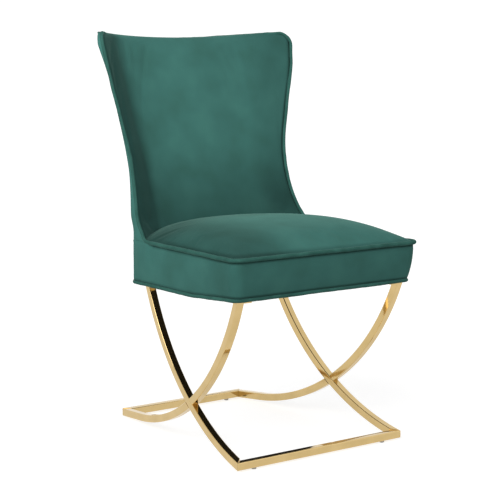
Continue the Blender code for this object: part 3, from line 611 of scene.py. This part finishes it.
# %% Cloth simulation
def fill_with_foam(made, held, cap, pressure, slack):
    """Swells a mesh over 20 frames, with the corners where held(co) is true fixed in place."""
    mesh = made.data
    start = np.array([corner.co for corner in mesh.vertices])
    group = made.vertex_groups.new(name="seam")
    group.add([corner.index for corner in mesh.vertices if held(corner.co)], 1.0, "REPLACE")
    cloth = made.modifiers.new("cover", "CLOTH")
    cloth.settings.quality = 5
    cloth.settings.mass = 0.3
    cloth.settings.tension_stiffness = cloth.settings.compression_stiffness = 15
    cloth.settings.bending_stiffness = 0.6
    cloth.settings.use_pressure = True
    cloth.settings.uniform_pressure_force = pressure
    cloth.settings.vertex_group_mass = group.name
    cloth.settings.shrink_min = -slack
    cloth.settings.effector_weights.gravity = 0.0
    cloth.collision_settings.use_collision = False
    for step in range(1, 21):
        scene.frame_set(step)
    graph = bpy.context.evaluated_depsgraph_get()
    moved = np.array([corner.co for corner in made.evaluated_get(graph).data.vertices]) - start
    length = np.linalg.norm(moved, axis=1, keepdims=True)
    moved *= cap * np.tanh(length / cap) / np.maximum(length, 1e-9)
    made.modifiers.remove(cloth)
    made.vertex_groups.remove(group)
    mesh.vertices.foreach_set("co", (start + moved).ravel())
    mesh.update()
    scene.frame_set(1)
    pushed, kept = length.max(), np.linalg.norm(moved, axis=1).max()
    print(made.name, "pushed up to", round(1000 * float(pushed), 1), "mm by the cloth, of which",
          round(1000 * float(kept), 1), "mm are kept")


# %% [markdown]
# ## The seat cushion
#
# The top of the seat is a pillow of foam under one velvet panel, highest a little behind its
# middle and falling away to the welts and to the back. The grid is drawn a few millimetres low,
# closed below, and then filled.


# %% Seat cushion
MEETS_BACK_Z = 0.478
CROWN_HEIGHT, DRAWN_LOW, CUSHION_FOOT = 0.0545, 0.004, 0.018


def cushion_rear(x):
    """Y where the cushion meets the inside back."""
    half = station(WING_LINE, 1, MEETS_BACK_Z)
    return face_y(min(abs(x), half), MEETS_BACK_Z) - 0.002


def crown(u, v):
    """A point on the cushion before it is filled: u across, v from front to rear."""
    half, front = SEAT_FRONT_HALF - SEAM_GAP, SEAT_FRONT + SEAM_GAP
    across = math.sin(math.pi / 2 * u) * 0.35 + u * 0.65
    deep = v * 0.75 + 0.25 * (1 - math.cos(math.pi * v)) / 2
    y = front + deep * (cushion_rear(across * SEAT_REAR_HALF) - front)
    into_corner = max(SEAT_CORNER - (y - front), 0)
    corner = SEAT_CORNER - math.sqrt(max(SEAT_CORNER**2 - into_corner**2, 0))
    taper = (SEAT_FRONT_HALF - SEAT_REAR_HALF) * (y - front) / (SEAT_SEAM_Y - front)
    side = max(1 - abs(across) ** 4, 0.0) ** 0.6
    rise = (1 - (1 - min(deep / 0.58, 1.0)) ** 3) ** 0.68
    fall = 1 - (0.32 + 0.42 * across**2) * max((deep - 0.45) / 0.55, 0.0) ** 2
    height = CROWN_HEIGHT * side * rise * fall
    z = UPPER_WELT_Z - 0.001 + height - DRAWN_LOW * min(height / 0.02, 1.0)
    return across * (half - taper - corner), y, z


def underneath(u, v):
    """The flat underside of the cushion, which rests on the webbing."""
    x, y, _ = crown(u, v)
    return 0.975 * x, y + 0.004 * (1 - 2 * v), UPPER_WELT_Z - CUSHION_FOOT


def cushion_held(co):
    """The seams at the front and the sides, and the strip tucked in at the rear."""
    return co.z < UPPER_WELT_Z + 0.0015 or co.y > cushion_rear(co.x) - 0.02


def cushion_painted_shade(co):
    """Painted shade: deeper towards the rear, in the back's shadow, and the left, in the wing's
    shadow, painted light at the right, and deepest in the shade along the welt.
    """
    at_seam = 1 - ease(0.004, 0.012, co.z - UPPER_WELT_Z)
    return (0.65 * ease(-0.10, 0.10, co.y) + 0.65 * ease(0.04, 0.20, -co.x)
            - 0.15 * ease(-0.12, 0.2, co.x) + 0.5 * at_seam)


bm = grid(84, 76, crown)
underside = bmesh.ops.create_grid(bm, x_segments=84, y_segments=76, size=1.0)["verts"]
for corner in underside:
    corner.co = underneath(corner.co.x, (corner.co.y + 1) / 2)
downward = list({face for corner in underside for face in corner.link_faces})
bmesh.ops.reverse_faces(bm, faces=downward)
bmesh.ops.bridge_loops(bm, edges=[edge for edge in bm.edges if edge.is_boundary])
bmesh.ops.recalc_face_normals(bm, faces=bm.faces)
cushion = piece("seat_cushion", bm, green_velvet, "velvet",
                "seat_top_cover", "seat_wadding", "seat_foam", sharp=80)
fill_with_foam(cushion, cushion_held, cap=0.005, pressure=4.0, slack=0.003)
smooth(cushion)
# Shade is painted into the cushion's colour here.
paint_shade(cushion, cushion_painted_shade)
print("seat cushion top at", round(max(corner.co.z for corner in cushion.data.vertices), 4))

# %% [markdown]
# ## The inside back
#
# One padded panel lines the hollow of the back. It rolls forward over each wing before it
# meets the welt, and rolls over the top edge. It is drawn as a sheet with a rounded rim, given
# its depth and filled.


# %% Inside back pad
PAD_LOW = 0.474
PAD_PUFF, PAD_LIP = 0.003, 0.005


def pad_front(u, v):
    """A point on the pad's front, with its rim rolled back."""
    across = math.sin(math.pi / 2 * u) * 0.3 + u * 0.7
    height = PAD_LOW + v * (top_z(across * 0.27) - PAD_LOW)
    half, _ = wing(min(height, BACK_TOP_TIP - 0.0005))
    x = across * (half + 0.0005)
    from_side = (1 - abs(across)) * half
    from_top = top_z(x) - height
    roll_side, roll_top = round_over(from_side, 0.014), round_over(from_top, 0.018)
    swell = ease(0.0, 0.05, from_side) * PAD_PUFF
    lip = PAD_LIP * ease(0.0, 0.012, from_side) * (1 - ease(0.012, 0.06, from_side))
    back = 0.006 * (1 - roll_side) + 0.020 * (1 - roll_top)
    return x, face_y(x, min(height, BACK_TOP_TIP)) - swell - lip * roll_top + back, height


def pad_held(co):
    """The pad's rim: both wings, the top and the tuck behind the seat."""
    return (abs(co.x) > wing(min(co.z, 0.957))[0] - 0.006
            or co.z > top_z(co.x) - 0.008 or co.z < PAD_LOW + 0.004)


def pad_painted_shade(co):
    """Painted shade: deeper on the wings, most of all on the left one, which the light misses, low
    on the back, which the seat shades, and in the shade along the welts.
    """
    half = wing(co.z)[0]
    at_wing, low = ease(0.60, 0.86, abs(co.x) / half), 1 - ease(0.50, 0.70, co.z)
    at_seam = 1 - ease(0.003, 0.008, half - abs(co.x))
    return ((0.9 if co.x < 0 else 0.25) * at_wing + 0.5 * low + 0.22
            + 0.12 * ease(0.0, 0.12, co.x) + 0.7 * at_seam)


bm = grid(110, 96, pad_front)
face_towards(bm, (0, -1, 0))
inside_back = piece("inside_back_pad", bm, green_velvet, "velvet",
                    "inside_back_cover", "back_foam", sharp=80)
fill_with_foam(inside_back, pad_held, cap=0.004, pressure=2.0, slack=0.0)
# Shade is painted into the pad's colour here.
paint_shade(inside_back, pad_painted_shade)
thicken(inside_back, PAD_THICKNESS)
print("inside back pad", len(inside_back.data.polygons), "quads")

# %% [markdown]
# ## The border of the seat
#
# A band of velvet runs round the front and both sides of the seat between two welts. It is
# stretched over wadding, so it bulges a little, and the stitching of each welt draws it into
# faint upright puckers which fade out towards the middle of the band.


# %% Seat border
BORDER_BULGE, BORDER_PULL, PUCKER = 0.0064, 0.0040, 0.0017
CORNER_CENTRE = 0.034


border_plan = seat_outline(0.0, 0.0, SEAT_SEAM_Y + SEAM_GAP)
border_foot = seat_outline(0.0, BORDER_DRAFT, SEAT_SEAM_Y + SEAM_GAP)


def outwards(x, y):
    """The level direction that points away from the seat, at a point of the border."""
    if y > SEAT_FRONT + SEAT_CORNER:
        return Vector((math.copysign(1, x), 0, 0))
    if abs(x) < SEAT_FRONT_HALF - SEAT_CORNER - 0.008:
        return Vector((0, -1, 0))
    sideways = max(abs(x) - SEAT_FRONT_HALF + CORNER_CENTRE, 0.001)
    return Vector((math.copysign(sideways, x), y - SEAT_FRONT - CORNER_CENTRE, 0)).normalized()


def border(u, v):
    """A point on the border: u round the seat, v from the lower welt to the upper one."""
    v = (1 - math.cos(math.pi * v)) / 2
    high, low = along(border_plan, (u + 1) / 2), along(border_foot, (u + 1) / 2)
    x, y = low.lerp(high, v)
    bottom = lower_welt_z(y)
    bulge = BORDER_BULGE * math.sin(math.pi * v) ** 0.6
    bulge -= BORDER_PULL * (1 - ease(0.015, 0.045, y) * v)
    bulge *= 1 - ease(0.075, 0.102, y)
    gather = ripple((u * 0.68, 0.0, 0.3 * v), 15) + 0.6 * ripple((u * 0.68, 0.0, 0.0), 31, 2.0)
    pucker = PUCKER * gather * (math.exp(-v / 0.16) * 0.7 + math.exp((v - 1) / 0.22))
    place = Vector((x, y, bottom + (UPPER_WELT_Z - bottom) * v))
    return place + outwards(x, y) * (bulge + pucker)


def border_painted_shade(co):
    """Painted shade: deeper in the shade along both seams, and a little deeper towards the front,
    which the key light strikes less.
    """
    from_upper = UPPER_WELT_Z - co.z + 0.02 * ease(0.015, 0.045, co.y)
    from_lower = co.z - lower_welt_z(co.y)
    at_seam = 1 - ease(0.0060, 0.0095, min(from_upper, from_lower))
    return 0.24 * (1 - ease(-0.31, -0.10, co.y)) + 0.9 * at_seam


bm = grid(340, 22, border)
seat_border = piece("seat_border_band", bm, green_velvet, "velvet", "seat_border", sharp=80)
# Shade is painted into the border's colour here.
paint_shade(seat_border, border_painted_shade)
thicken(seat_border, PANEL_THICKNESS)
print("border band", round(1000 * (border(0, 1).z - border(0, 0).z)), "mm high at the front")

# %% [markdown]
# ## The outside back
#
# One panel of velvet covers the back from the lower edge of the seat to the top. It is pulled
# tight round the frame, so it curves forward at both sides and rolls over at the top.


# %% Outside back
def outside(u, v):
    """A point on the outside back: u across, v from the lower welt to the top."""
    across = math.sin(math.pi / 2 * u) * 0.6 + u * 0.4
    low = lower_welt_z(SEAT_SEAM_Y)
    high = top_z(across * 0.27) - 0.004
    height = low + v * (high - low)
    half = rear_edge(min(height, BACK_TOP_TIP - 0.002))[0]
    roll = round_over(high - height, 0.012)
    y = rear_y(across * half, min(height, BACK_TOP_TIP)) - 0.005 * (1 - roll)
    return across * half, y, height


bm = grid(72, 84, outside)
bmesh.ops.reverse_faces(bm, faces=bm.faces)
outside_back = piece("outside_back_panel", bm, green_velvet, "velvet", "outside_back_cover",
                     sharp=80)
thicken(outside_back, PANEL_THICKNESS)

# %% [markdown]
# ## The side bands and the top band
#
# Between the wing's welt and the outside back runs a narrow strip of velvet, which widens again
# at the foot, where the welt sweeps forward to meet the seat. A last strip closes the top.

# %% The line of the back's welt
CORNER_Z = BACK_TOP_TIP - WING_CORNER_RISE
# Points where the welt leaves the seat's edge and turns up the wing.
TURN = ((0.2505, 0.030, 0.4725), (0.2505, 0.038, 0.4728), (0.2500, 0.050, 0.4742),
        (0.2475, 0.063, 0.4790), (0.2445, 0.0735, 0.4875))
WING_FOOT_Z = 0.4970
tip_half = station(WING_LINE, 1, BACK_TOP_TIP) - WING_CORNER_WIDTH
tip_y = face_y(tip_half, BACK_TOP_TIP) + WELT


def welt_side():
    """The welt from the seat up one wing to its tip, on the right."""
    points = list(TURN)
    for step in range(25):
        height = WING_FOOT_Z + (CORNER_Z - WING_FOOT_Z) * step / 24
        points.append((*wing(height), height))
    for turn in (0.2, 0.4, 0.6, 0.8, 1.0, 1.2, 1.4):
        height = CORNER_Z + WING_CORNER_RISE * math.sin(turn)
        points.append((*wing(height), height - 0.004 * math.sin(turn)))
    return points


def welt_top_y(x):
    """Y of the welt along the top, which lies at the rear between the tips."""
    middle = 1 - min(abs(x / tip_half), 1.0) ** 10
    return tip_y + (rear_y(x, top_z(x) - 0.006) - 0.001 - tip_y) * middle


wing_welt = welt_side()
print("each wing's welt has", len(wing_welt), "points")


# %% Side bands
# Heights, and how far the stuffing domes the band there.
BAND_DOME = ((0.4725, 0.52, 0.56, 0.66, 0.76, 0.83, 0.88, 0.925, 0.9575),
             (0.002, 0.004, 0.006, 0.006, 0.003, 0.0015, 0.005, 0.010, 0.005))


def side_band(side):
    """The surface of one side's band, from the welt to the outside back."""
    def place(u, v):
        share = (u * side + 1) / 2
        near = along(wing_welt, v)
        half, far_y = rear_edge(min(near.z, BACK_TOP_TIP - 0.001))
        point = near.lerp(Vector((half, far_y, near.z)), share)
        dome = np.interp(point.z, *BAND_DOME) * math.sin(math.pi * share) ** 0.8
        return Vector((side * (point.x + dome), point.y, point.z))
    return place


for word, side in SIDES:
    bm = grid(8, 130, side_band(side))
    face_towards(bm, (side, 0, 0), probe=4)
    band = piece(f"side_band_{word}", bm, green_velvet, "velvet", f"back_side_band_{word}",
                 sharp=80)
    thicken(band, BAND_THICKNESS)


# %% Top band
def top_band(u, v):
    """A point on the top band: u across, v from the pad to the outside back."""
    x = u * (tip_half + 0.004)
    near = face_y(x, min(top_z(x), BACK_TOP_TIP)) + 0.012
    far = max(rear_y(x, top_z(x) - 0.006) - 0.002, near + 0.002)
    return x, near + (far - near) * v, top_z(x) - 0.0045 + 0.0016 * math.sin(math.pi * v)


bm = grid(80, 5, top_band)
face_towards(bm, (0, 0, 1))
band = piece("top_band", bm, green_velvet, "velvet", "back_top_band", sharp=80)
thicken(band, BAND_THICKNESS)

# %% [markdown]
# ## Piping
#
# A welt is a cord sewn into a strip of the same velvet, so it is round and slightly uneven along
# its length where the stitches pull it. Its velvet is given darker colours than the panels beside
# it, as painted shade for the shadow along its seams. A curve with a round bevel gives it, and the
# curve is turned to a mesh.


# %% Welts
def piping(name, points, radius, *nodes, closed=False):
    """A welt along a line, with the small waves that its stitches give it."""
    line = [along([*points, points[0]] if closed else points, step / 399) for step in range(400)]
    line = line[:-1] if closed else line
    curve = bpy.data.curves.new(name, "CURVE")
    curve.dimensions = "3D"
    curve.bevel_depth = radius
    curve.bevel_resolution = 3
    curve.use_fill_caps = True
    spline = curve.splines.new("POLY")
    spline.points.add(len(line) - 1)
    for index, (dot, place) in enumerate(zip(spline.points, line)):
        fade = 1.0 if closed else min(index, len(line) - 1 - index, 12) / 12
        wave = Vector([ripple(place, 34, 5.0 * k) for k in (1, 2, 3)]) * 0.0009 * fade
        dot.co = (*(place + wave), 1.0)
        dot.radius = 1.0 + 0.07 * ripple(place, 12)
    spline.use_cyclic_u = closed
    guide = bpy.data.objects.new(name + "_guide", curve)
    scene.collection.objects.link(guide)
    bm = bmesh.new()
    bm.from_mesh(guide.evaluated_get(bpy.context.evaluated_depsgraph_get()).to_mesh())
    bpy.data.objects.remove(guide)
    bmesh.ops.remove_doubles(bm, verts=bm.verts, dist=1e-6)
    bmesh.ops.recalc_face_normals(bm, faces=bm.faces)
    return piece(name, bm, shaded_piping_velvet, "piping", *nodes, sharp=60)


plan = seat_outline(0.0, 0.0, 0.030)
piping("upper_seat_welt", [(x, y, UPPER_WELT_Z) for x, y in plan], 0.0046, "seat_upper_welt")

turns = [0.12 + (math.pi - 0.24) * step / 40 for step in range(41)]
sweep = [(SEAT_REAR_HALF - 0.004) * math.cos(turn) for turn in turns]
ring = seat_outline(0.0025, BORDER_DRAFT, SEAT_SEAM_Y - 0.0003)
ring += [(x, rear_y(x, LOWER_WELT_Z)) for x in sweep]
ring = [(x, y, lower_welt_z(y)) for x, y in ring]
piping("lower_welt", ring, 0.0042, "seat_lower_welt", closed=True)

top = [(x, welt_top_y(x), top_z(x) - 0.0055)
       for x in np.linspace(tip_half - 0.004, 0.004 - tip_half, 60)]
left = [(-x, y, z) for x, y, z in reversed(wing_welt)]
piping("back_edge_welt", wing_welt + top + left, 0.0039, "back_welt")
print("three welts made")

# %% [markdown]
# ## The cloth under the seat
#
# Thin black cloth is stapled to the underside so that nobody looks up into the webbing. Its plan
# follows the seat. Its solid already has this shape and the screw holes, so it stays.

# %% Dust cloth
cloth_low, cloth_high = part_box("dust_cover")
print("dust cloth spans", [round(v, 3) for v in cloth_high - cloth_low])

# %% [markdown]
# ## Floor
#
# The floor is a wide pale disc, matt enough to hold no mirror image. It glows a little to the eye
# and to mirrors but not to rough surfaces, so the ground stays white and lends the velvet no
# light of its own.


# %% Floor
def stand(name, bm, finish):
    """Adds a thing that belongs to the studio and not to the chair."""
    mesh = bpy.data.meshes.new(name)
    bm.to_mesh(mesh)
    bm.free()
    mesh.materials.append(finish)
    made = bpy.data.objects.new(name, mesh)
    scene.collection.objects.link(made)
    return made


def bright_to_mirrors(tree, low, high):
    """A strength that is low to rough surfaces and high to mirrors and to the eye."""
    ray = add(tree, "ShaderNodeLightPath")
    scaled = add(tree, "ShaderNodeMapRange", {"Value": ray.outputs["Is Diffuse Ray"]})
    scaled.inputs["To Min"].default_value, scaled.inputs["To Max"].default_value = high, low
    return scaled.outputs[0]


pale, tree, shader, place = new_finish("pale_floor")
grain = add(tree, "ShaderNodeTexNoise", {"Vector": place}, Scale=1000 / 300)
tree.links.new(ramp(tree, grain.outputs["Fac"], [(0.3, "BCBCBC"), (0.7, "BEBEBE")]),
               shader.inputs["Base Color"])
shader.inputs["Roughness"].default_value = 1.0
shader.inputs["Specular IOR Level"].default_value = 0.0
shader.inputs["Emission Color"].default_value = linear("FFFFFF")
tree.links.new(bright_to_mirrors(tree, 0.0, 0.75), shader.inputs["Emission Strength"])
bm = bmesh.new()
bmesh.ops.create_circle(bm, cap_ends=True, segments=96, radius=30.0,
                        matrix=Matrix.Translation((0, 0, -0.0006)))
floor = stand("studio_floor", bm, pale)
print("floor laid:", floor.name)

# %% [markdown]
# ## Room
#
# The room is an even, nearly white light, because polished gold shows whatever surrounds it. To
# rough surfaces it is dimmer, so that the lamps and not the room shape the velvet.

# %% Room
room = bpy.data.worlds.new("studio_room")
room.use_nodes = True
backdrop = room.node_tree.nodes["Background"]
backdrop.inputs["Color"].default_value = (1.0, 1.0, 1.0, 1.0)
room.node_tree.links.new(bright_to_mirrors(room.node_tree, 0.34, 1.1), backdrop.inputs["Strength"])
scene.world = room
scene.view_settings.view_transform = "Standard"
print("room lit:", room.name)

# %% [markdown]
# ## Lights
#
# One large soft light at the front left, high up, shapes the velvet. A weaker one fills from the
# front, and a narrow beam lifts the upper part of the inside back.


# %% Lights
def far_light(name, towards, wide, power):
    """A large soft light, so far away that it is even over the whole floor."""
    data = bpy.data.lights.new(name, "SUN")
    data.angle, data.energy = math.radians(wide), power
    made = bpy.data.objects.new(name, data)
    made.rotation_euler = Vector(towards).to_track_quat("Z", "Y").to_euler()
    scene.collection.objects.link(made)


far_light("key_light", (-0.78, -0.36, 0.52), 50, 2.0)
far_light("front_fill", (0.1, -0.9, 0.5), 80, 0.4)

beam = bpy.data.lights.new("back_beam", "SPOT")
beam.energy, beam.shadow_soft_size = 225, 0.35
beam.spot_size, beam.spot_blend = math.radians(18), 1.0
beam_stand = bpy.data.objects.new("back_beam", beam)
beam_stand.location = (-1.2, -2.4, 1.5)
aim = Vector((-0.08, 0.22, 0.82)) - beam_stand.location
beam_stand.rotation_euler = aim.to_track_quat("-Z", "Y").to_euler()
scene.collection.objects.link(beam_stand)
print("lights: two large ones and a beam")

# %% [markdown]
# ## Dark card
#
# In an all-white room a mirror looks flat. A small black card behind the chair, seen only in
# reflections, gives the gold one dark streak and so its contrast.

# %% Dark card
towards = Vector((0.57, 0.77, 0.27)).normalized()
turn = towards.to_track_quat("Z", "Y").to_matrix().to_4x4()
card_place = Vector((-0.19, -0.29, 0.02)) + 2.0 * towards
bm = bmesh.new()
bmesh.ops.create_grid(bm, x_segments=1, y_segments=1, size=0.2,
                      matrix=Matrix.Translation(card_place) @ turn)
card = stand("dark_card", bm, grainy("black_card", "040404", "060606", 3.0, 1.0))
card.visible_camera = card.visible_diffuse = card.visible_shadow = False
print("dark card stands at", [round(v, 2) for v in card_place])
